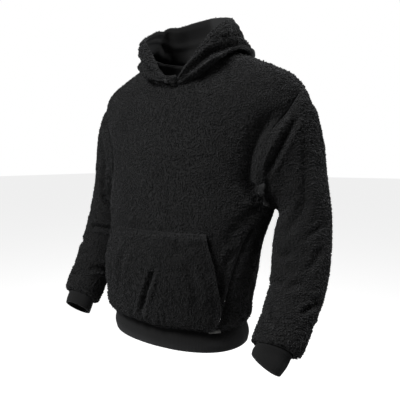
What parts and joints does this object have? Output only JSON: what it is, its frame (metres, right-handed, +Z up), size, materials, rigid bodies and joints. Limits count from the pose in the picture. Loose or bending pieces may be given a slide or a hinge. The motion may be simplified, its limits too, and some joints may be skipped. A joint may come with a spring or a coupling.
{
  "type": "pullover hoodie",
  "caption": "Pullover hoodie in pile fleece, filled out as if worn, with ribbed cuffs and hem band, a kangaroo pocket and a standing hood.",
  "frame": {"origin": "middle of the neck opening, where the wearer's neck and shoulders hold the hoodie up, just above the inner ends of the shoulder seams", "axes": "+Z up, -Y towards the front of the hoodie, +X towards the wearer's left; +Z runs along the hoodie's greatest length"},
  "size_m": [0.6981, 0.335, 0.787],
  "materials": {
    "fleece": "black curly pile fleece, matt, smooth on its inside",
    "rib": "black fine rib knit, matt",
    "tape": "plain grey woven tape, blank"
  },
  "bodies": {
    "root": {"front": "fleece", "back": "fleece", "sleeve_left": "fleece", "sleeve_right": "fleece", "pocket": "fleece", "hood_left": "fleece", "hood_right": "fleece", "cuff_left": "rib", "cuff_right": "rib", "hem_band": "rib", "hem_tab": "tape"}
  },
  "joints": []
}
